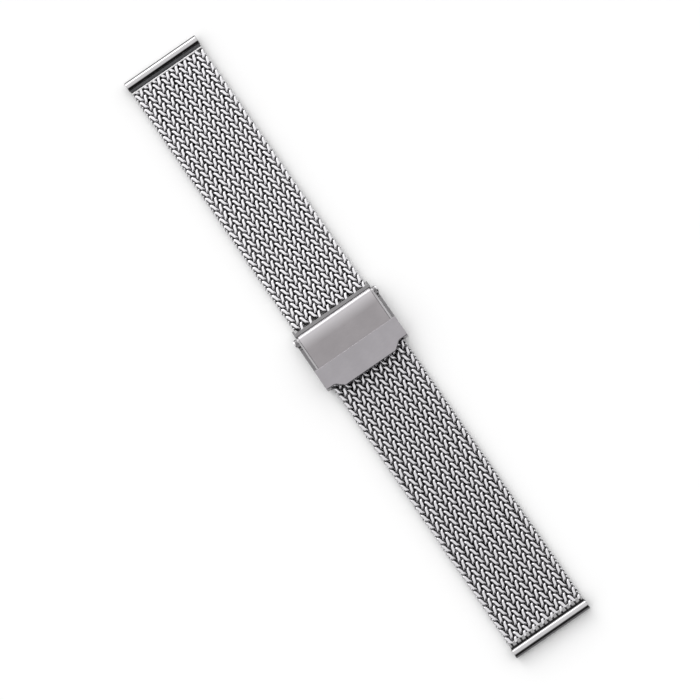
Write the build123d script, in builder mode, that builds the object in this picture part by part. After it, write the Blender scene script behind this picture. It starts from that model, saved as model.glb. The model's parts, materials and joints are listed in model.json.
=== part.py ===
from build123d import *

import os
from math import ceil, cos, floor, radians, sin

# Milanese mesh watch band with a sliding safety clasp, lying flat and straight.
# Millimetres. X runs across the band, +Y along it towards the strap that hooks
# into the clasp (strap A), +Z away from the wrist. The origin is below the
# middle of the band, on the surface that the band lies on.

# Band and mesh
overall_length = 163.3
band_width = 20.0
mesh_thickness = 1.65
spiral_pitch_a = 1.0
spiral_pitch_b = 1.05
spirals_per_link = 6
first_hinge_a = 12.6
first_hinge_b = 12.9

# Cross rods that the wire loops turn on, and the loops round them
cross_rod_diameter = 0.35
rod_clearance = 0.025
rod_inset = 0.05
loop_columns = 8
loop_gap = 0.05
link_gap = 0.08

# Slanting openings between the strokes of wire
opening_width = 0.55
opening_length = 0.8
opening_slant = 30.0
opening_margin = 0.1

# End tubes for the spring bars, and the soldered seams beside them
tube_diameter = 2.5
spring_bar_bore = 1.7
tube_overhang = 0.1
tube_edge_chamfer = 0.12
seam_a = 0.3
seam_b = 0.9
seam_thickness = 1.5

# Clasp base
wall_thickness = 0.4
tunnel_side_clearance = 0.1
tunnel_floor_clearance = 0.025
base_front = 7.25
base_back = 6.7
wall_top_drop = 0.15
wall_corner_radius = 0.7
stud_diameter = 0.8
stud_reach = 0.08
stud_place = 4.1
stud_height = 1.8

# Clasp cover
cover_front = 7.65
cover_back = 5.3
cover_thickness = 0.45
tunnel_headroom = 1.075
cover_side_gap = 0.05
barrel_radius = 1.2
cover_edge_radius = 0.15

# Hinge pin through base, cover, flap and hook
hinge_pin_diameter = 1.0
pin_clearance = 0.05
pin_head_diameter = 1.9
pin_head_thickness = 0.4
pin_head_round = 0.25

# Safety flap
flap_front = 1.55
flap_ears = 6.7
flap_tab_edge = 8.3
flap_tab_root_width = 17.8
flap_tab_width = 13.9
flap_thickness = 0.45
flap_gap = 0.1
flap_side_height = 2.8
arm_thickness = 0.65
arm_gap = 0.1
arm_height = 1.8
arm_eye_diameter = 2.0
arm_notch_diameter = 1.0
arm_notch_place = 4.9
flap_edge_chamfer = 0.12
flap_corner_radius = 0.9

# Hook plate that ends strap A
ferrule_length = 0.8
ferrule_wall = 0.3
ferrule_side_gap = 0.1
ferrule_gap = 0.15
crimp_clearance = 0.02
prong_length = 0.8
prong_width = 0.45
prong_height = 1.3
tongue_width = 12.8
tongue_thickness = 0.4
tongue_gap = 0.1
hook_wall = 0.45
hook_end_angle = 150.0

# Lock lever in the base floor
lever_width = 13.8
lever_back = 5.3
lever_pin_place = 4.45
lever_pin_diameter = 0.5
lever_barrel_diameter = 0.9
lever_gap = 0.1
nail_notch_diameter = 3.0
nail_notch_reach = 0.6

# Sliding tail of strap B
tail_end = 0.2
tail_bar_length = 1.0
tail_bar_round = 0.35

# Spare length for cuts that run past a face
cut_overrun = 1.0

# Levels
mesh_middle = tube_diameter / 2
mesh_bottom = mesh_middle - mesh_thickness / 2
mesh_top = mesh_middle + mesh_thickness / 2
floor_thickness = mesh_bottom - tunnel_floor_clearance
cover_top = mesh_top + tunnel_headroom + cover_thickness
wall_top = cover_top - wall_top_drop
pin_height = cover_top - barrel_radius
pin_place = cover_front - barrel_radius
flap_bottom = cover_top + flap_gap

# Half widths
wall_inside = band_width / 2 + tunnel_side_clearance
wall_outside = wall_inside + wall_thickness
cover_half = wall_inside - cover_side_gap
arm_inside = wall_outside + arm_gap
arm_outside = arm_inside + arm_thickness
pin_bore_radius = hinge_pin_diameter / 2 + pin_clearance
lever_bore_radius = lever_pin_diameter / 2 + pin_clearance

# Lengths along the band
tube_place = overall_length / 2 - tube_diameter / 2
tube_inner_edge = tube_place - tube_diameter / 2
loop_radius = mesh_thickness / 2
loop_reach = loop_radius + link_gap
loop_pitch = band_width / (2 * loop_columns)
slant = radians(opening_slant)
opening_reach = (opening_length * cos(slant) + opening_width * sin(slant)) / 2
ferrule_back = cover_front + ferrule_gap
ferrule_front = ferrule_back + ferrule_length

os.makedirs("parts", exist_ok=True)


def finish(builder, name):
    """Name a finished piece and write it to its own file."""
    builder.part.label = name
    export_step(builder.part, "parts/" + name + ".step")


def mesh_link(low, high, low_hinge, high_hinge, spiral_pitch):
    """A stretch of mesh between two cross rods, with a comb of loops at each hinged end."""
    hinges_here = []
    if low_hinge:
        hinges_here.append((low, -1, 1))
    if high_hinge:
        hinges_here.append((high, 1, 0))
    rod_places = [(hinge[0], mesh_middle) for hinge in hinges_here]
    # One row of openings to each spiral that lies clear of the loops
    rows_from = rod_places[0][0]
    rows_low = low + opening_margin + opening_reach + low_hinge * loop_reach - rows_from
    rows_high = high - opening_margin - opening_reach - high_hinge * loop_reach - rows_from
    first_row = ceil(rows_low / spiral_pitch - 0.5)
    last_row = floor(rows_high / spiral_pitch - 0.5)
    with BuildPart() as link:
        with BuildSketch(Plane.YZ):
            with Locations(((low + high) / 2, mesh_middle)):
                Rectangle(high - low, mesh_thickness)
            with Locations(*rod_places):
                Circle(loop_radius)
                Circle(cross_rod_diameter / 2 + rod_clearance, mode=Mode.SUBTRACT)
        extrude(amount=band_width / 2, both=True)
        # Gaps between the loops, for the neighbour's loops
        gap_length = loop_reach + loop_radius + cut_overrun
        for rod, outward, first_gap in hinges_here:
            gap_middle = rod + outward * (gap_length / 2 - loop_reach)
            with BuildSketch(Plane.XY.offset(mesh_bottom)):
                for index in range(first_gap, 2 * loop_columns, 2):
                    with Locations(((index + 0.5) * loop_pitch - band_width / 2, gap_middle)):
                        Rectangle(loop_pitch + 2 * loop_gap, gap_length)
            extrude(amount=mesh_thickness, mode=Mode.SUBTRACT)
        # Openings, slanting to the left and to the right in turn, as the spirals' hands do
        with BuildSketch(Plane.XY.offset(mesh_bottom)):
            for row in range(first_row, last_row + 1):
                odd = row % 2
                with Locations((0, rows_from + (row + 0.5) * spiral_pitch)):
                    with GridLocations(2 * loop_pitch, spiral_pitch, loop_columns - odd, 1):
                        Rectangle(opening_width, opening_length, (1 - 2 * odd) * opening_slant)
        extrude(amount=mesh_thickness, mode=Mode.SUBTRACT)
    return link


def cross_rod(place):
    """The straight wire that two neighbouring rows of loops turn on."""
    with BuildPart() as rod:
        with BuildSketch(Plane.YZ):
            with Locations((place, mesh_middle)):
                Circle(cross_rod_diameter / 2)
        extrude(amount=band_width / 2 - rod_inset, both=True)
    return rod


def end_tube(side):
    """The bored tube that a spring bar passes through."""
    with BuildPart() as tube:
        with BuildSketch(Plane.YZ):
            with Locations((side * tube_place, mesh_middle)):
                Circle(tube_diameter / 2)
        extrude(amount=band_width / 2 + tube_overhang, both=True)
        chamfer(tube.edges().filter_by(GeomType.CIRCLE), tube_edge_chamfer)
        with BuildSketch(Plane.YZ):
            with Locations((side * tube_place, mesh_middle)):
                Circle(spring_bar_bore / 2)
        extrude(amount=band_width, both=True, mode=Mode.SUBTRACT)
    return tube


def solder_seam(side, width):
    """The ground seam of solder between the mesh's last row and the tube."""
    mesh_end = tube_inner_edge - width
    with BuildPart() as seam:
        with BuildSketch(Plane.YZ):
            with Locations((side * (mesh_end + tube_place) / 2, mesh_middle)):
                Rectangle(tube_place - mesh_end, seam_thickness)
            with Locations((side * tube_place, mesh_middle)):
                Circle(tube_diameter / 2, mode=Mode.SUBTRACT)
        extrude(amount=band_width / 2, both=True)
    return seam


# Both straps: links of mesh, and the cross rods between them
for strap, side, first_hinge, spiral_pitch, seam_width in (
    ("a", 1, first_hinge_a, spiral_pitch_a, seam_a),
    ("b", -1, first_hinge_b, spiral_pitch_b, seam_b),
):
    link_length = spirals_per_link * spiral_pitch
    mesh_end = tube_inner_edge - seam_width
    hinge_count = int((mesh_end - first_hinge) / link_length)
    hinges = [first_hinge + link_length * index for index in range(hinge_count)]
    if strap == "a":
        start = ferrule_back + ferrule_wall
    else:
        start = -tail_end + tail_bar_length
    marks = [start] + hinges + [mesh_end]
    for number, (near, far) in enumerate(zip(marks[:-1], marks[1:]), start=1):
        near_hinge = number > 1
        far_hinge = number <= hinge_count
        if side > 0:
            link = mesh_link(near, far, near_hinge, far_hinge, spiral_pitch)
        else:
            link = mesh_link(-far, -near, far_hinge, near_hinge, spiral_pitch)
        finish(link, f"mesh_{strap}_{number:02d}")
    for number, hinge in enumerate(hinges, start=1):
        finish(cross_rod(side * hinge), f"cross_rod_{strap}_{number:02d}")
    finish(end_tube(side), f"end_tube_{strap}")
    finish(solder_seam(side, seam_width), f"solder_seam_{strap}")


# Bar soldered across the free end of strap B, inside the clasp
with BuildPart() as tail_bar:
    with BuildSketch(Plane.XY.offset(mesh_bottom)):
        with Locations((0, tail_end - tail_bar_length / 2)):
            Rectangle(band_width, tail_bar_length)
    extrude(amount=mesh_thickness)
    fillet(tail_bar.edges().filter_by(Axis.X).group_by(Axis.Y)[-1], tail_bar_round)
finish(tail_bar, "tail_bar")


# Clasp base: a floor under the mesh and a wall on each side
with BuildPart() as base_channel:
    with BuildSketch(Plane.YZ):
        with Locations(((base_front - base_back) / 2, wall_top / 2)):
            Rectangle(base_front + base_back, wall_top)
    extrude(amount=wall_outside, both=True)
    fillet(base_channel.edges().filter_by(Axis.X).group_by(Axis.Z)[-1], wall_corner_radius)
    with BuildSketch(Plane.XY.offset(floor_thickness)):
        with Locations((0, (base_front - base_back) / 2)):
            Rectangle(2 * wall_inside, base_front + base_back)
    extrude(amount=wall_top, mode=Mode.SUBTRACT)
    window_front = lever_pin_place + lever_barrel_diameter / 2 + lever_gap
    window_back = lever_back + lever_gap
    with BuildSketch(Plane.XY):
        with Locations((0, (window_front - window_back) / 2)):
            Rectangle(lever_width + 2 * lever_gap, window_front + window_back)
        with Locations((0, -window_back)):
            Circle(nail_notch_diameter / 2)
        with Locations((0, -window_back - nail_notch_reach - nail_notch_diameter / 2)):
            Rectangle(nail_notch_diameter, nail_notch_diameter, mode=Mode.SUBTRACT)
    extrude(amount=floor_thickness, mode=Mode.SUBTRACT)
    with BuildSketch(Plane.YZ):
        with Locations((pin_place, pin_height)):
            Circle(pin_bore_radius)
        with Locations((lever_pin_place, lever_barrel_diameter / 2)):
            Circle(lever_bore_radius)
        with Locations((-stud_place, stud_height)):
            Circle(stud_diameter / 2)
    extrude(amount=wall_outside, both=True, mode=Mode.SUBTRACT)
finish(base_channel, "base_channel")


# Studs in the walls that hold the closed flap
with BuildPart() as snap_studs:
    for side in (1, -1):
        with BuildSketch(Plane.YZ.offset(side * wall_inside)):
            with Locations((-stud_place, stud_height)):
                Circle(stud_diameter / 2)
        extrude(amount=side * (wall_thickness + stud_reach))
finish(snap_studs, "snap_studs")


# Hinge pin with a round head outside each arm
with BuildPart() as hinge_pin:
    with BuildSketch(Plane.YZ):
        with Locations((pin_place, pin_height)):
            Circle(hinge_pin_diameter / 2)
    extrude(amount=arm_outside + pin_clearance, both=True)
    for side in (1, -1):
        with BuildSketch(Plane.YZ.offset(side * (arm_outside + pin_clearance))):
            with Locations((pin_place, pin_height)):
                Circle(pin_head_diameter / 2)
        extrude(amount=side * pin_head_thickness)
    ends = hinge_pin.faces().filter_by(Axis.X).sort_by(Axis.X)
    fillet(ends[-1].edges() + ends[0].edges(), pin_head_round)
finish(hinge_pin, "hinge_pin")


# Cover: a plate rolled into a bored knuckle at each side, with a lip between them
with BuildPart() as cover:
    with BuildSketch(Plane.YZ):
        with Locations(((pin_place - cover_back) / 2, cover_top - cover_thickness / 2)):
            Rectangle(pin_place + cover_back, cover_thickness)
        with Locations((pin_place, pin_height)):
            Circle(barrel_radius)
            Circle(pin_bore_radius, mode=Mode.SUBTRACT)
    extrude(amount=cover_half, both=True)
    lip_inner_radius = barrel_radius - cover_thickness
    with BuildSketch(Plane.YZ):
        with Locations((pin_place, pin_height)):
            Circle(lip_inner_radius)
        with Locations((pin_place, pin_height - barrel_radius)):
            Rectangle(2 * barrel_radius + cut_overrun, 2 * barrel_radius)
        with Locations((pin_place - barrel_radius, pin_height + lip_inner_radius / 2)):
            Rectangle(2 * barrel_radius, lip_inner_radius)
    extrude(amount=tongue_width / 2 + tongue_gap, both=True, mode=Mode.SUBTRACT)
    side_faces = cover.faces().filter_by(Axis.X).group_by(Axis.X)
    side_edges = ShapeList()
    for face in side_faces[0] + side_faces[-1]:
        side_edges += face.outer_wire().edges()
    fillet(side_edges, cover_edge_radius)
finish(cover, "cover")


# Safety flap: a plate with a lifting tab, side walls, and an arm to each pin head
with BuildPart() as safety_flap:
    with BuildSketch(Plane.XY.offset(flap_bottom)) as plate:
        with BuildLine():
            Polyline(
                (-arm_outside, -flap_front),
                (arm_outside, -flap_front),
                (arm_outside, -flap_ears),
                (flap_tab_root_width / 2, -flap_ears),
                (flap_tab_width / 2, -flap_tab_edge),
                (-flap_tab_width / 2, -flap_tab_edge),
                (-flap_tab_root_width / 2, -flap_ears),
                (-arm_outside, -flap_ears),
                close=True,
            )
        make_face()
        tab_corners = plate.vertices().filter_by(lambda v: abs(v.X) < arm_inside)
        fillet(tab_corners, flap_corner_radius)
    extrude(amount=flap_thickness)
    chamfer(safety_flap.faces().sort_by(Axis.Z)[-1].edges(), flap_edge_chamfer)
    for side in (1, -1):
        with BuildSketch(Plane.YZ.offset(side * arm_inside)):
            with Locations((-(flap_front + flap_ears) / 2, flap_bottom - flap_side_height / 2)):
                Rectangle(flap_ears - flap_front, flap_side_height)
            with Locations(((pin_place - flap_front) / 2, pin_height)):
                Rectangle(pin_place + flap_front, arm_height)
            with Locations((pin_place, pin_height)):
                Circle(arm_eye_diameter / 2)
                Circle(pin_bore_radius, mode=Mode.SUBTRACT)
            with Locations((arm_notch_place, pin_height + arm_height / 2)):
                Circle(arm_notch_diameter / 2, mode=Mode.SUBTRACT)
        extrude(amount=side * arm_thickness)
finish(safety_flap, "safety_flap")


# Hook plate: a ferrule crimped on strap A, and a tongue that hooks round the pin
with BuildPart() as hook_plate:
    ferrule_half = arm_inside - ferrule_side_gap
    with BuildSketch(Plane.YZ):
        with Locations(((ferrule_back + ferrule_front) / 2, mesh_middle)):
            Rectangle(ferrule_length, mesh_thickness + 2 * ferrule_wall)
    extrude(amount=ferrule_half, both=True)
    for side in (1, -1):
        with BuildSketch(Plane.XY.offset(mesh_middle - prong_height / 2)):
            with Locations((side * (ferrule_half - prong_width / 2), ferrule_front + prong_length / 2)):
                Rectangle(prong_width, prong_length)
        extrude(amount=prong_height)
    pocket_back = ferrule_back + ferrule_wall
    with BuildSketch(Plane.YZ):
        with Locations(((pocket_back + ferrule_front) / 2, mesh_middle)):
            Rectangle(ferrule_front - pocket_back, mesh_thickness + 2 * crimp_clearance)
    extrude(amount=band_width / 2 + crimp_clearance, both=True, mode=Mode.SUBTRACT)
    hook_radius = pin_bore_radius + hook_wall
    tongue_top = pin_height - barrel_radius - tongue_gap
    tongue_back = pin_place - hook_radius
    with BuildSketch(Plane.YZ):
        with Locations(((tongue_back + ferrule_back) / 2, tongue_top - tongue_thickness / 2)):
            Rectangle(ferrule_back - tongue_back, tongue_thickness)
        riser_bottom = tongue_top - tongue_thickness
        with Locations((pin_place - hook_radius / 2, (riser_bottom + pin_height) / 2)):
            Rectangle(hook_radius, pin_height - riser_bottom)
        with BuildLine():
            start = radians(hook_end_angle)
            hook_tip = (pin_place + hook_radius * cos(start), pin_height + hook_radius * sin(start))
            Line((pin_place, pin_height), hook_tip)
            CenterArc((pin_place, pin_height), hook_radius, hook_end_angle, 180 - hook_end_angle)
            Line((pin_place - hook_radius, pin_height), (pin_place, pin_height))
        make_face()
        with Locations((pin_place, pin_height)):
            Circle(pin_bore_radius, mode=Mode.SUBTRACT)
    extrude(amount=tongue_width / 2, both=True)
finish(hook_plate, "hook_plate")


# Lock lever: a plate flush in the floor, rolled round its own pin
with BuildPart() as lock_lever:
    lever_barrel = lever_barrel_diameter / 2
    with BuildSketch(Plane.YZ):
        with Locations(((lever_pin_place - lever_back) / 2, floor_thickness / 2)):
            Rectangle(lever_pin_place + lever_back, floor_thickness)
        with Locations((lever_pin_place, lever_barrel)):
            Circle(lever_barrel)
            Circle(lever_bore_radius, mode=Mode.SUBTRACT)
    extrude(amount=lever_width / 2, both=True)
finish(lock_lever, "lock_lever")


# Pin that the lock lever turns on
with BuildPart() as lever_pin:
    with BuildSketch(Plane.YZ):
        with Locations((lever_pin_place, lever_barrel_diameter / 2)):
            Circle(lever_pin_diameter / 2)
    extrude(amount=wall_outside, both=True)
finish(lever_pin, "lever_pin")
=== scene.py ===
"""Looks of a milanese mesh watch band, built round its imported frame. Metres."""

import json
import math

import bpy
import numpy as np
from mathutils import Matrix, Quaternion, Vector


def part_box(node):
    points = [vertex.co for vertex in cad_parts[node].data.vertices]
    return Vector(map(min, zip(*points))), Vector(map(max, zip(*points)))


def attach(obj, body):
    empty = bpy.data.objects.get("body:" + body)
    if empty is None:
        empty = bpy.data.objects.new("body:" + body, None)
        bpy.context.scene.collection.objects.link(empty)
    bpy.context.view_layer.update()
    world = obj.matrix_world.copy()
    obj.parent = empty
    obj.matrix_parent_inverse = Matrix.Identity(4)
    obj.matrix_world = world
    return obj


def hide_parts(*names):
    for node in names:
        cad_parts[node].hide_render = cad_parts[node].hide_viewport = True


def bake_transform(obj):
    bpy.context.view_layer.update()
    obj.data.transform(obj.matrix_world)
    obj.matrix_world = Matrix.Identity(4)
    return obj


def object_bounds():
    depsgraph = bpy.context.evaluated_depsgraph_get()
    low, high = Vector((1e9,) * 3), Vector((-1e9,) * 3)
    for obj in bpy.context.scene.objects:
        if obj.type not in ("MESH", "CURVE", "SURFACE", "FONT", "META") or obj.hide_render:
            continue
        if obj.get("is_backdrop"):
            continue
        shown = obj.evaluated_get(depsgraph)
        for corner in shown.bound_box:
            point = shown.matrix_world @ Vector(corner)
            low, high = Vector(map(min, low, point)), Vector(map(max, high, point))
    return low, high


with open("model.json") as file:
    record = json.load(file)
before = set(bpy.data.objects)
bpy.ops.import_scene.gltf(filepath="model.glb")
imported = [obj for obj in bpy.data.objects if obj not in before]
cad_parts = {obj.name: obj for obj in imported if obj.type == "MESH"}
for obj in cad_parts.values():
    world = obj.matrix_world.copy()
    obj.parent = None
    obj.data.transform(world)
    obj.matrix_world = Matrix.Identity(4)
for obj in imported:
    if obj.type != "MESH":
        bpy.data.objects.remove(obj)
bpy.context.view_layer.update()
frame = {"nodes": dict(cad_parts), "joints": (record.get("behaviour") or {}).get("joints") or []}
scene = bpy.context.scene
joints = {joint["name"]: joint for joint in frame["joints"]}
random_seed = 11
random = np.random.default_rng(random_seed)

MM = 0.001

# Camera, fitted to the outline of the band in the photograph
camera_place = Vector((5.95, -110.91, 627.03)) * MM
camera_target = Vector((-1.70, -1.63, 1.25)) * MM
camera_roll = math.radians(-38.55)
sensor_width = 36.0
focal_length = 141.43
clip_near = 0.01
clip_far = 20.0

# Flattened wire spirals, rolled after weaving, so that their tops are flat
wire_radius = 0.34 * MM
wire_sides = 12
wire_reach = 9.72 * MM
coil_radius = 0.50 * MM
rolled_half = 0.77 * MM
column_pitch = 2.456 * MM
flat_steps = 4
arc_steps = 9
cap_angles = np.radians([25, 55, 80])

# The last spirals before a tube are thickened by solder
soldered_radius = 0.37 * MM
soldered_rows = 1.6

# Cross rods, which hook each spiral to the next
rod_radius = 0.14 * MM
rod_reach = 9.75 * MM
rod_rows = 9
rod_sides = 8

# Beads that join a rod's end to the spiral beside it
bead_place = 9.66 * MM
bead_shift = 0.12 * MM
bead_width = 0.32 * MM
bead_length = 0.40 * MM
bead_height = 0.60 * MM
bead_angles = np.radians([-84, -55, -28, 0, 28, 55, 84])
bead_sides = 12
bead_crown = 0.4

# Small differences between the spirals
place_jitter = 0.025 * MM
row_jitter = 0.012 * MM
height_jitter = 0.008 * MM

# The crown value of the wires: 1 on top of the mesh, less underneath and at the edges of the band.
# The lower it is, the more the wire colour is blended into a near-black painted shade
under_crown = 0.55
edge_crown = 0.4
edge_fade = 0.4 * MM

# Where rows start and end, and the numbers of the rows, counted from a strap's first hinge
clasp_overlap = 0.25 * MM
clasp_room = 0.1 * MM
row_numbers = range(-20, 90)

# What differs between the straps: pitch of the spirals, straight part and lean of a stroke, where
# the strokes of each hand cross the middle line, and how many degrees the rows are askew
STRAPS = {
    "a": dict(
        side=1,
        pitch=1.0 * MM,
        flat=0.83 * MM,
        lean=0.253,
        right_hand=-0.47 * MM,
        left_hand=0.80 * MM,
        row_end=78.5 * MM,
        mesh_end=78.35 * MM,
        skew_near=1.1,
        skew_far=2.6,
    ),
    "b": dict(
        side=-1,
        pitch=1.05 * MM,
        flat=0.97 * MM,
        lean=0.21,
        right_hand=-0.70 * MM,
        left_hand=0.50 * MM,
        row_end=78.95 * MM,
        mesh_end=78.6 * MM,
        skew_near=1.9,
        skew_far=0.8,
    ),
}

# Solder strips beside the tubes: their rounding, lumps and slots
solder_reach = 9.9 * MM
solder_columns = 401
solder_rows = 11
solder_arch = 2.2
solder_rim = 0.02
solder_lump = 0.05 * MM
lump_waves = (1700, 2900, 4700, 7900)
lump_phase = 6
slots_per_column = 2
slot_place = 0.6 * MM
slot_gain = 2
slot_bias = 0.9
slot_middle = 0.45
slot_half = 0.5
slot_fade = 3


# Mesh building

def tube_rings(path, outward, radii, sides):
    """Rings of points round a path, whose outward side is given at each point."""
    along = np.gradient(path, axis=0)
    along /= np.linalg.norm(along, axis=1)[:, None]
    outward = outward - (outward * along).sum(1)[:, None] * along
    outward /= np.linalg.norm(outward, axis=1)[:, None]
    across = np.cross(along, outward)
    angles = 2 * np.pi * np.arange(sides) / sides
    ring = np.cos(angles)[None, :, None] * outward[:, None, :]
    ring = ring + np.sin(angles)[None, :, None] * across[:, None, :]
    return path[:, None, :] + ring * radii[:, None, None]


def round_ends(path, radius):
    """Path and radii with a rounded cap added past each end."""
    first = path[0] - path[1]
    last = path[-1] - path[-2]
    first /= np.linalg.norm(first)
    last /= np.linalg.norm(last)
    reach = radius * np.sin(cap_angles)
    head = path[0] + reach[::-1, None] * first
    tail = path[-1] + reach[:, None] * last
    radii = radius * np.cos(cap_angles)
    full = np.full(len(path), radius)
    return np.vstack([head, path, tail]), np.concatenate([radii[::-1], full, radii])


def spiral_rings(hand, start_x, flat, lean, radius):
    """One flattened wire spiral that runs across the band, about its own middle line.

    A turn is half a straight stroke on top, an arc down, a stroke underneath, an arc up and the
    other half on top. The knots are the places where these parts meet.
    """
    arc = np.pi * coil_radius
    arc_drift = column_pitch / 2 - flat * lean
    knots = np.cumsum([0, flat / 2, arc, flat, arc, flat / 2])
    knot_angle = np.pi * np.array([0, 0, 1, 1, 2, 2])
    knot_middle = flat / 2 * np.array([0, 1, 1, -1, -1, 0])
    half_drift = lean * flat / 2
    knot_x = np.cumsum([0, half_drift, arc_drift, lean * flat, arc_drift, half_drift])
    step_counts = (flat_steps // 2, arc_steps, flat_steps, arc_steps, flat_steps // 2)
    one_turn = np.concatenate([
        np.linspace(knots[part], knots[part + 1], count, endpoint=False)
        for part, count in enumerate(step_counts)
    ])
    first_turn = math.floor((-wire_reach - start_x) / column_pitch) - 1
    last_turn = math.ceil((wire_reach - start_x) / column_pitch) + 1
    turns = np.arange(first_turn, last_turn)
    turn_x = np.interp(one_turn, knots, knot_x)
    x = (turn_x[None, :] + turns[:, None] * column_pitch).ravel()
    middle = np.tile(np.interp(one_turn, knots, knot_middle), len(turns))
    angle = np.tile(np.interp(one_turn, knots, knot_angle), len(turns))
    outward = np.stack([np.zeros(len(x)), np.sin(angle), np.cos(angle)], 1)
    path = outward * coil_radius
    path[:, 0] = x * hand + start_x
    path[:, 1] += middle
    kept = np.abs(path[:, 0]) < wire_reach
    path, radii = round_ends(path[kept], radius)
    outward = outward[kept]
    cap_rows = len(cap_angles)
    head = outward[:1].repeat(cap_rows, 0)
    tail = outward[-1:].repeat(cap_rows, 0)
    outward = np.vstack([head, outward, tail])
    rings = tube_rings(path, outward, radii, wire_sides)
    rings[:, :, 2] = np.clip(rings[:, :, 2], -rolled_half, rolled_half)
    return rings


def rod_rings():
    """The straight wire between two neighbouring spirals, about its own middle line."""
    path = np.zeros((rod_rows, 3))
    path[:, 0] = np.linspace(-rod_reach, rod_reach, rod_rows)
    path, radii = round_ends(path, rod_radius)
    outward = np.zeros(path.shape)
    outward[:, 2] = 1
    return tube_rings(path, outward, radii, rod_sides)


def bead_rings(edge):
    """The bead at one edge of the band that joins a rod's end to the spiral beside it."""
    turns = 2 * np.pi * np.arange(bead_sides) / bead_sides
    swell = np.cos(bead_angles)[:, None]
    rings = np.zeros((len(bead_angles), bead_sides, 3))
    rings[:, :, 0] = (edge * bead_place + bead_width * np.sin(bead_angles))[:, None]
    rings[:, :, 1] = bead_shift + bead_length * swell * np.cos(turns)[None, :]
    rings[:, :, 2] = bead_height * swell * np.sin(turns)[None, :]
    return rings


def solder_rings(low, high, foot, crest, slot_depth):
    """A lumpy strip of solder across the band, with a slot between each two wires."""
    x = np.linspace(-solder_reach, solder_reach, solder_columns)
    share = np.linspace(0, 1, solder_rows)
    arch = np.sin(np.pi * np.clip(share, solder_rim, 1 - solder_rim))
    rise = np.sqrt(np.clip(solder_arch * arch, 0, 1))
    waves = [np.sin(x * wave + random.uniform(0, lump_phase)) for wave in lump_waves]
    lumps = sum(waves) / len(waves)
    slot_turn = 2 * np.pi * slots_per_column * (x - slot_place) / column_pitch
    slot = np.clip(np.cos(slot_turn) * slot_gain - slot_bias, 0, 1)
    slot_share = np.clip((1 - np.abs(share - slot_middle) / slot_half) * slot_fade, 0, 1)
    top = foot + (crest - foot) * rise[None, :] + solder_lump * lumps[:, None] * rise[None, :]
    top = top - slot_depth * slot[:, None] * slot_share[None, :]
    rings = np.zeros((len(x), len(share) + 2, 3))
    rings[:, :, 0] = x[:, None]
    rings[:, 1:-1, 1] = (low + (high - low) * share)[None, :]
    rings[:, 0, 1] = low
    rings[:, -1, 1] = high
    rings[:, 1:-1, 2] = top
    rings[:, (0, -1), 2] = foot
    return rings


def ring_faces(rows, sides, first):
    """Quads between neighbouring rings, counted from a first vertex."""
    row = np.arange(rows - 1)[:, None] * sides
    column = np.arange(sides)[None, :]
    after = (column + 1) % sides
    corners = [row + column, row + after, row + sides + after, row + sides + column]
    return np.stack([corner.ravel() for corner in corners], 1)[:, ::-1] + first


def mesh_object(name, tubes, crowns=None):
    """One mesh made of many tubes, each a block of rings, with a crown value at each point."""
    points, quads, caps = [], [], []
    first = 0
    for rings in tubes:
        rows, sides = rings.shape[:2]
        points.append(rings.reshape(-1, 3))
        quads.append(ring_faces(rows, sides, first))
        caps.append(np.arange(sides) + first)
        caps.append((np.arange(sides) + first + (rows - 1) * sides)[::-1])
        first += rows * sides
    points = np.vstack(points)
    quads = np.vstack(quads)
    loops = np.concatenate([quads.ravel(), *caps]).astype(np.int32)
    sizes = np.concatenate([np.full(len(quads), 4), [len(cap) for cap in caps]])
    starts = np.concatenate([[0], np.cumsum(sizes)[:-1]]).astype(np.int32)
    mesh = bpy.data.meshes.new(name)
    mesh.vertices.add(len(points))
    mesh.vertices.foreach_set("co", points.astype(np.float32).ravel())
    mesh.loops.add(len(loops))
    mesh.loops.foreach_set("vertex_index", loops)
    mesh.polygons.add(len(starts))
    mesh.polygons.foreach_set("loop_start", starts)
    if crowns is not None:
        crown = mesh.attributes.new("crown", "FLOAT", "POINT")
        crown.data.foreach_set("value", np.concatenate(crowns).astype(np.float32))
    mesh.update(calc_edges=True)
    mesh.validate()
    mesh.polygons.foreach_set("use_smooth", np.ones(len(mesh.polygons), bool))
    piece = bpy.data.objects.new(name, mesh)
    scene.collection.objects.link(piece)
    return piece


# Materials

edge_radius = 0.07 * MM
edge_samples = 6
noise_detail = 3.0
no_stretch = (1.0, 1.0, 1.0)


def add(tree, kind, **values):
    """A new node, with the values of its sockets or properties."""
    node = tree.nodes.new(kind)
    for key, value in values.items():
        if key in node.inputs:
            node.inputs[key].default_value = value
        else:
            setattr(node, key, value)
    return node


def split(tree, vector):
    """The three parts of a vector."""
    node = add(tree, "ShaderNodeSeparateXYZ")
    tree.links.new(vector, node.inputs["Vector"])
    return node.outputs


def noise(tree, coordinates, scale, stretch=no_stretch):
    """Noise on stretched coordinates. The scale is in cells per metre."""
    mapping = add(tree, "ShaderNodeMapping", Scale=stretch)
    tree.links.new(coordinates, mapping.inputs["Vector"])
    texture = add(tree, "ShaderNodeTexNoise", Scale=scale, Detail=noise_detail)
    tree.links.new(mapping.outputs["Vector"], texture.inputs["Vector"])
    return texture.outputs["Fac"]


def spread(tree, value, low, high, from_low=0.3, from_high=0.7):
    """A value spread over a range. Without a given start range it is taken to be a noise."""
    node = tree.nodes.new("ShaderNodeMapRange")
    node.inputs["From Min"].default_value = from_low
    node.inputs["From Max"].default_value = from_high
    node.inputs["To Min"].default_value = low
    node.inputs["To Max"].default_value = high
    tree.links.new(value, node.inputs["Value"])
    return node.outputs["Result"]


def calculate(tree, operation, value, number):
    """A value and a plain number put together by a Math node."""
    node = add(tree, "ShaderNodeMath", operation=operation)
    node.inputs[1].default_value = number
    tree.links.new(value, node.inputs[0])
    return node.outputs[0]


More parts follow.
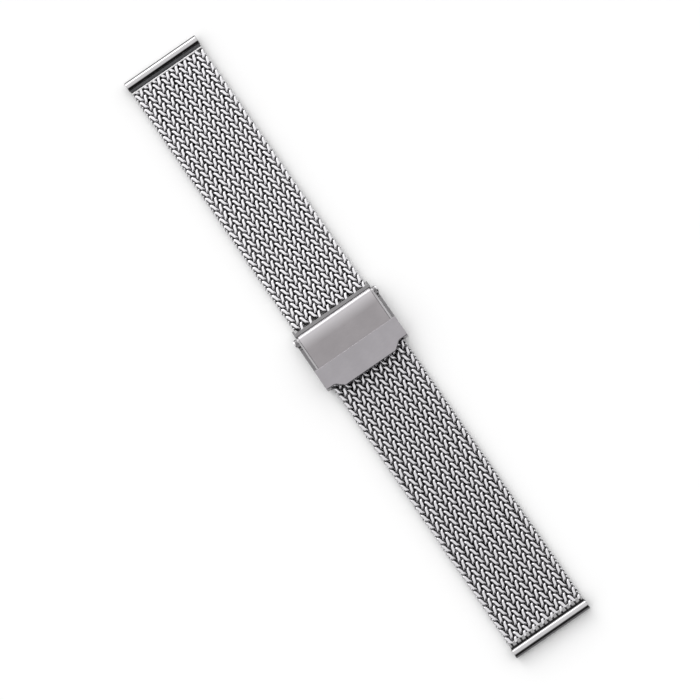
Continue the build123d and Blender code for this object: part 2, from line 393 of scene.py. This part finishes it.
def blend_colours(tree, factor, first, second):
    """A colour between two colours."""
    node = add(tree, "ShaderNodeMix", data_type="RGBA")
    tree.links.new(factor, node.inputs[0])
    for socket, colour in ((node.inputs[6], first), (node.inputs[7], second)):
        if isinstance(colour, tuple):
            socket.default_value = (*colour, 1)
        else:
            tree.links.new(colour, socket)
    return node.outputs[2]


def shade(colour, share):
    """A colour made darker or lighter by a share."""
    return tuple(share * part for part in colour)


def new_material(name):
    """A metal with its shader, its node tree and its object coordinates."""
    material = bpy.data.materials.new(name)
    material.use_nodes = True
    tree = material.node_tree
    shader = tree.nodes["Principled BSDF"]
    shader.inputs["Metallic"].default_value = 1.0
    coordinates = tree.nodes.new("ShaderNodeTexCoord").outputs["Object"]
    return material, tree, shader, coordinates


def relief(tree, shader, heights, rounding=0.0):
    """Bumps one over another: pairs of a height and its depth in metres, and rounded edges."""
    normal = None
    if rounding:
        bevel = add(tree, "ShaderNodeBevel", Radius=rounding, samples=edge_samples)
        normal = bevel.outputs["Normal"]
    for height, depth in heights:
        bump = add(tree, "ShaderNodeBump", Distance=depth, Strength=1.0)
        tree.links.new(height, bump.inputs["Height"])
        if normal is not None:
            tree.links.new(normal, bump.inputs["Normal"])
        normal = bump.outputs["Normal"]
    tree.links.new(normal, shader.inputs["Normal"])


def wire_material(name, crown_colour, wire_painted_shade_colour):
    """Drawn wire: its own colour on the rolled crowns, blended into painted shade down between the
    loops.
    """
    patch_scale = 700.0
    drawn_scale = 9000.0
    drawn_stretch = (1.0, 0.25, 1.0)
    drawn_depth = 0.004 * MM
    recess_top, crown_foot = 0.16, 0.44
    patch_start, patch_end = 0.45, 0.7
    patch_share = 0.35
    patch_shade = 0.86
    smooth, rough = 0.20, 0.34
    material, tree, shader, coordinates = new_material(name)
    crown = add(tree, "ShaderNodeAttribute", attribute_name="crown").outputs["Fac"]
    patches = noise(tree, coordinates, patch_scale)
    drawn = noise(tree, coordinates, drawn_scale, drawn_stretch)
    # Painted shade: low crown values blend the wire towards a near-black colour
    height = spread(tree, crown, 0.0, 1.0, recess_top, crown_foot)
    colour = blend_colours(tree, height, wire_painted_shade_colour, crown_colour)
    soft = spread(tree, patches, 0.0, patch_share, patch_start, patch_end)
    base = blend_colours(tree, soft, colour, shade(crown_colour, patch_shade))
    tree.links.new(base, shader.inputs["Base Color"])
    tree.links.new(spread(tree, drawn, smooth, rough), shader.inputs["Roughness"])
    relief(tree, shader, [(drawn, drawn_depth)])
    return material


def satin_material(name, colour, roughness, dome=None, along=None):
    """Brushed plate: fine lines across the band, faint clouds, and painted light and shade along
    it.

    The dome is a front that falls away: its start, length and slope. Along gives the places
    between which the colour changes, and the colour that it changes to, which paints a highlight
    when lighter and shade when darker.
    """
    line_scale = 9000.0
    line_stretch = (0.12, 1.0, 1.0)
    line_depth = 0.0012 * MM
    line_start, line_end = 0.4, 0.7
    line_share = 0.5
    cloud_scale = 180.0
    cloud_depth = 0.02 * MM
    cloud_light, cloud_dark = 1.07, 0.93
    smoother, rougher = 0.05, 0.07
    material, tree, shader, coordinates = new_material(name)
    lines = noise(tree, coordinates, line_scale, line_stretch)
    place = split(tree, coordinates)["Y"]
    clouds = noise(tree, coordinates, cloud_scale)
    darker = shade(colour, cloud_dark)
    base = blend_colours(tree, spread(tree, clouds, 0.0, 1.0), darker, shade(colour, cloud_light))
    fine = spread(tree, lines, 0.0, line_share, line_start, line_end)
    base = blend_colours(tree, fine, base, darker)
    # Painted light and shade: the colour blends along the part to the given colour
    if along:
        along_start, along_end, end_colour = along
        share = spread(tree, place, 0.0, 1.0, along_start, along_end)
        base = blend_colours(tree, share, base, end_colour)
    tree.links.new(base, shader.inputs["Base Color"])
    grain = spread(tree, lines, roughness - smoother, roughness + rougher)
    tree.links.new(grain, shader.inputs["Roughness"])
    heights = [(clouds, cloud_depth), (lines, line_depth)]
    if dome:
        dome_start, dome_length, dome_slope = dome
        share = spread(tree, place, 0.0, 1.0, dome_start, dome_start + dome_length)
        fall = calculate(tree, "MULTIPLY", calculate(tree, "POWER", share, 2.0), -1.0)
        heights.insert(0, (fall, dome_slope * dome_length / 2))
    relief(tree, shader, heights, edge_radius)
    return material


def polished_material(name, colour, roughness, painted_shade_below=None):
    """Polished round stock with faint turning lines, and painted shade below a height if that is
    given.
    """
    line_scale = 7000.0
    line_stretch = (1.0, 0.15, 0.15)
    line_depth = 0.0008 * MM
    cloud_scale = 400.0
    cloud_dark = 0.9
    painted_shade_share = 0.22
    smoother, rougher = 0.8, 1.5
    material, tree, shader, coordinates = new_material(name)
    lines = noise(tree, coordinates, line_scale, line_stretch)
    clouds = noise(tree, coordinates, cloud_scale)
    cloud = spread(tree, clouds, 0.0, 1.0)
    base = blend_colours(tree, cloud, colour, shade(colour, cloud_dark))
    # Painted shade: below the given heights the tube's colour is darkened
    if painted_shade_below:
        painted_shade_start, painted_shade_end = painted_shade_below
        height = split(tree, coordinates)["Z"]
        share = spread(tree, height, 0.0, 1.0, painted_shade_end, painted_shade_start)
        base = blend_colours(tree, share, shade(colour, painted_shade_share), base)
    tree.links.new(base, shader.inputs["Base Color"])
    grain = spread(tree, lines, roughness * smoother, roughness * rougher)
    tree.links.new(grain, shader.inputs["Roughness"])
    relief(tree, shader, [(lines, line_depth)], edge_radius)
    return material


def solder_material(name, colour):
    """Ground solder: duller, with small lumps and pits."""
    lump_scale = 2500.0
    lump_depth = 0.05 * MM
    lump_dark = 0.7
    pit_scale = 11000.0
    pit_depth = 0.008 * MM
    smooth, rough = 0.3, 0.5
    material, tree, shader, coordinates = new_material(name)
    lumps = noise(tree, coordinates, lump_scale)
    pits = noise(tree, coordinates, pit_scale)
    lump = spread(tree, lumps, 0.0, 1.0)
    base = blend_colours(tree, lump, shade(colour, lump_dark), colour)
    tree.links.new(base, shader.inputs["Base Color"])
    tree.links.new(spread(tree, pits, smooth, rough), shader.inputs["Roughness"])
    relief(tree, shader, [(lumps, lump_depth), (pits, pit_depth)])
    return material


# Colours, how rough each finish is, and where light and shade are painted
# Near-black painted shade for the wires' recesses, undersides, edges and rods
wire_painted_shade_colour = (0.012, 0.012, 0.012)
wire_colour = (0.81, 0.80, 0.82)
# Strap b's wire: the same steel drawn darker, painted shade
shaded_wire_colour = (0.68, 0.67, 0.69)
plate_colour = (0.34, 0.325, 0.342)
plate_roughness = 0.36
# Painted shade on the flap's arms: past these places the flap darkens to this colour
arm_painted_shade = (-1.5 * MM, -1.2 * MM, (0.20, 0.195, 0.20))
cover_colour = (0.305, 0.288, 0.297)
cover_dome = (4.0 * MM, 2.4 * MM, 0.16)
# Painted highlight on the cover: towards its rolled front edge it lightens to this colour
cover_painted_highlight = (3.5 * MM, 7.1 * MM, (0.50, 0.485, 0.50))
base_colour = (0.42, 0.41, 0.42)
base_roughness = 0.32
hook_colour = (0.25, 0.245, 0.25)
hook_roughness = 0.40
tube_colour = (0.56, 0.55, 0.56)
tube_roughness = 0.10
# Painted shade on the tubes: darker below these heights
tube_painted_shade_below = (2.42 * MM, 2.22 * MM)
pin_colour = (0.72, 0.71, 0.72)
pin_roughness = 0.22
solder_colour = (0.40, 0.395, 0.40)
# Near-black painted shade: a dark copy of the solder colour for the strip beside tube a
solder_painted_shade_colour = (0.09, 0.09, 0.095)
# Painted highlight: a light copy of the solder colour for the first row beside tube a
solder_painted_highlight_colour = (0.82, 0.81, 0.82)

WIRES = {
    "a": wire_material("wire_steel", wire_colour, wire_painted_shade_colour),
    "b": wire_material("shaded_wire_steel", shaded_wire_colour, wire_painted_shade_colour),
}
plate_steel = satin_material("satin_steel", plate_colour, plate_roughness)
flap_steel = satin_material("flap_steel", plate_colour, plate_roughness, along=arm_painted_shade)
cover_steel = satin_material("cover_steel", cover_colour, plate_roughness, cover_dome, cover_painted_highlight)
base_steel = satin_material("base_steel", base_colour, base_roughness)
hook_steel = satin_material("dark_satin", hook_colour, hook_roughness)
tube_steel = polished_material("tube_steel", tube_colour, tube_roughness, tube_painted_shade_below)
pin_steel = polished_material("pin_steel", pin_colour, pin_roughness)
solder_grey = solder_material("solder_grey", solder_colour)
solder_painted_shade = solder_material("solder_painted_shade", solder_painted_shade_colour)
solder_painted_highlight = solder_material("solder_painted_highlight", solder_painted_highlight_colour)

# The finish of each CAD node, by how its name starts
FINISHES = {
    "base_channel": base_steel,
    "cover": cover_steel,
    "safety_flap": flap_steel,
    "hook_plate": hook_steel,
    "end_tube": tube_steel,
    "hinge_pin": pin_steel,
    "lever_pin": pin_steel,
    "snap": pin_steel,
    "solder": solder_grey,
    "tail_bar": solder_grey,
}
sharp_angle = math.radians(32)
for name, node in frame["nodes"].items():
    finish = plate_steel
    for start, material in FINISHES.items():
        if name.startswith(start):
            finish = material
    node.data.materials.clear()
    node.data.materials.append(finish)
    node.data.set_sharp_from_angle(angle=sharp_angle)
    for face in node.data.polygons:
        face.use_smooth = True


# The weave of both straps

def skewed(rings, row_y, near, strap):
    """The rings moved to their row, which lies a little askew, and kept between the ends."""
    side = strap["side"]
    far = strap["mesh_end"]
    share = np.clip((row_y - near) / (far - near), 0, 1)
    skew = math.radians(strap["skew_near"] + share * (strap["skew_far"] - strap["skew_near"]))
    moved = rings.copy()
    moved[:, :, 1] += side * row_y - math.tan(skew) * moved[:, :, 0]
    limits = sorted((side * near, side * far))
    moved[:, :, 1] = np.clip(moved[:, :, 1], *limits)
    return moved


def crown_values(rings):
    """How high each point of a wire stands, made less underneath and at the edges of the band; the
    lower the value, the more painted shade.
    """
    height = rings[:, :, 2].ravel() / rolled_half
    height = np.where(height < 0, -under_crown * height, height)
    inside = wire_reach - np.abs(rings[:, :, 0].ravel())
    height *= np.clip(inside / edge_fade, edge_crown, 1)
    return height


def random_spiral(hand, strap, is_soldered):
    """One spiral of a strap, a little out of its even place."""
    start_x = strap["right_hand"] if hand > 0 else strap["left_hand"]
    start_x += random.normal(0, place_jitter)
    radius = soldered_radius if is_soldered else wire_radius
    rings = spiral_rings(hand, start_x, strap["flat"], strap["lean"], radius)
    rings[:, :, 1] += random.normal(0, row_jitter)
    rings[:, :, 2] += random.normal(0, height_jitter)
    return rings


end_bodies = {}
for name, strap in STRAPS.items():
    side = strap["side"]
    pitch = strap["pitch"]
    hinges = [joints[key] for key in sorted(joints) if key.startswith(f"mesh_hinge_{name}_")]
    hinge_places = [side * hinge["pos_m"][1] for hinge in hinges]
    middle_z = hinges[-1]["pos_m"][2]
    end_bodies[name] = hinges[-1]["child"]
    link = hinge_places[1] - hinge_places[0]
    first_low, first_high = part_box(f"mesh_{name}_01")
    near = min(side * first_low.y, side * first_high.y) - clasp_overlap
    reach = strap["flat"] / 2 + coil_radius + wire_radius
    row_end = strap["row_end"] + reach
    marks = [place - link / 2 for place in hinge_places] + [hinge_places[-1] + link / 2]
    for index, hinge in enumerate(hinges):
        low, high = marks[index], marks[index + 1]
        link_low = -math.inf if index == 0 else low
        link_high = math.inf if index == len(hinges) - 1 else high
        tubes, crowns = [], []
        for count in row_numbers:
            rod_y = hinge_places[0] + count * pitch
            spiral_y = rod_y + pitch / 2
            rows = []
            if link_low <= rod_y < link_high and near + pitch < rod_y < row_end - pitch / 4:
                # Rods have crown 0, so they are drawn in the near-black painted shade; beads get a
                # little of it
                rows += [(rod_rings(), rod_y, 0.0)]
                rows += [(bead_rings(edge), rod_y, bead_crown) for edge in (-1, 1)]
            is_between_ends = near + reach - clasp_room < spiral_y < row_end - reach
            if link_low <= spiral_y < link_high and is_between_ends:
                is_soldered = row_end - reach - spiral_y < soldered_rows * pitch
                hand = -1 if count % 2 else 1
                rows += [(random_spiral(hand, strap, is_soldered), spiral_y, None)]
            for rings, row_y, crown in rows:
                heights = crown_values(rings)
                crowns.append(heights if crown is None else np.full(heights.shape, crown))
                moved = skewed(rings, row_y, near, strap)
                moved[:, :, 2] += middle_z
                tubes.append(moved)
        number = index + 1
        weave = mesh_object(f"weave_{name}_{number:02d}", tubes, crowns)
        weave.data.materials.append(WIRES[name])
        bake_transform(weave)
        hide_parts(f"mesh_{name}_{number:02d}", f"cross_rod_{name}_{number:02d}")
        if hinge is hinges[-1]:
            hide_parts(f"mesh_{name}_{number + 1:02d}")


# Solder between the last row of each strap and its tube: strips with an inner and an outer edge,
# a foot and a crest, and slots of some depth
SOLDER = {
    # Painted shade: near-black strip between the mesh and tube a
    "solder_groove_a": dict(
        strap="a",
        low=78.3 * MM,
        high=79.45 * MM,
        foot=0.5 * MM,
        crest=1.95 * MM,
        slot_depth=0.0,
        finish=solder_painted_shade,
    ),
    # Painted highlight: the light solder rim along strap a's last row
    "solder_rim_a": dict(
        strap="a",
        low=77.9 * MM,
        high=78.42 * MM,
        foot=0.9 * MM,
        crest=2.05 * MM,
        slot_depth=0.0,
        finish=solder_painted_highlight,
    ),
    "solder_rim_b": dict(
        strap="b",
        low=77.8 * MM,
        high=79.34 * MM,
        foot=0.5 * MM,
        crest=2.0 * MM,
        slot_depth=1.0 * MM,
        finish=solder_grey,
    ),
}
for name, strip in SOLDER.items():
    side = STRAPS[strip["strap"]]["side"]
    rings = solder_rings(side * strip["low"], side * strip["high"], strip["foot"], strip["crest"],
                         strip["slot_depth"])
    if side < 0:
        rings = rings[:, ::-1]
    piece = mesh_object(name, [rings])
    piece.data.materials.append(strip["finish"])
    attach(piece, end_bodies[strip["strap"]])
    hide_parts(f"solder_seam_{strip['strap']}")


# Plain pale floor
floor_half = 6.0
floor_level = -0.02 * MM
floor_colour = (0.99, 0.99, 0.99, 1)
floor_roughness = 0.9
floor_corners = ((-1, -1), (1, -1), (1, 1), (-1, 1))
floor_points = [(x * floor_half, y * floor_half, floor_level) for x, y in floor_corners]
floor_mesh = bpy.data.meshes.new("floor")
floor_mesh.from_pydata(floor_points, [], [(0, 1, 2, 3)])
floor = bpy.data.objects.new("floor", floor_mesh)
scene.collection.objects.link(floor)
floor_material = bpy.data.materials.new("floor")
floor_material.use_nodes = True
shader = floor_material.node_tree.nodes["Principled BSDF"]
shader.inputs["Base Color"].default_value = floor_colour
shader.inputs["Roughness"].default_value = floor_roughness
shader.inputs["Specular IOR Level"].default_value = 0.0
floor.data.materials.append(floor_material)
floor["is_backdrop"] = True

# Soft sky, brightest beyond the upper end of the band and dark behind the lower end: pairs of a
# place, from 0 behind the lower end to 1 beyond the upper end, and its brightness
SKY = ((0.0, 0.03), (0.19, 0.03), (0.27, 0.65), (0.52, 0.72), (0.80, 0.80), (0.90, 1.0), (1.0, 1.0))
sky_strength = 1.5
world = bpy.data.worlds.new("studio")
scene.world = world
world.use_nodes = True
tree = world.node_tree
background = tree.nodes["Background"]
direction = split(tree, add(tree, "ShaderNodeTexCoord").outputs["Generated"])["Y"]
ramp = add(tree, "ShaderNodeValToRGB")
tree.links.new(spread(tree, direction, 0.0, 1.0, -1.0, 1.0), ramp.inputs["Fac"])
for stop in SKY[1:-1]:
    ramp.color_ramp.elements.new(stop[0])
for element, (place, level) in zip(ramp.color_ramp.elements, SKY):
    element.position = place
    element.color = (level, level, level, 1)
tree.links.new(ramp.outputs["Color"], background.inputs["Color"])
background.inputs["Strength"].default_value = sky_strength

# One broad soft lamp from the upper end of the band
sun_energy = 0.6
sun_angle = math.radians(30)
sun_direction = Vector((0.12, -0.9, -0.45))
sun_data = bpy.data.lights.new("sun", "SUN")
sun_data.energy = sun_energy
sun_data.angle = sun_angle
sun = bpy.data.objects.new("sun", sun_data)
scene.collection.objects.link(sun)
sun.rotation_mode = "QUATERNION"
sun.rotation_quaternion = sun_direction.to_track_quat("-Z", "Y")

# Camera
camera_data = bpy.data.cameras.new("camera")
camera_data.sensor_width = sensor_width
camera_data.lens = focal_length
camera_data.clip_start = clip_near
camera_data.clip_end = clip_far
camera = bpy.data.objects.new("camera", camera_data)
scene.collection.objects.link(camera)
camera.location = camera_place
camera.rotation_mode = "QUATERNION"
aim = (camera_target - camera_place).to_track_quat("-Z", "Y")
camera.rotation_quaternion = aim @ Quaternion((0, 0, 1), camera_roll)
scene.camera = camera

scene.view_settings.view_transform = "Standard"

low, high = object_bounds()
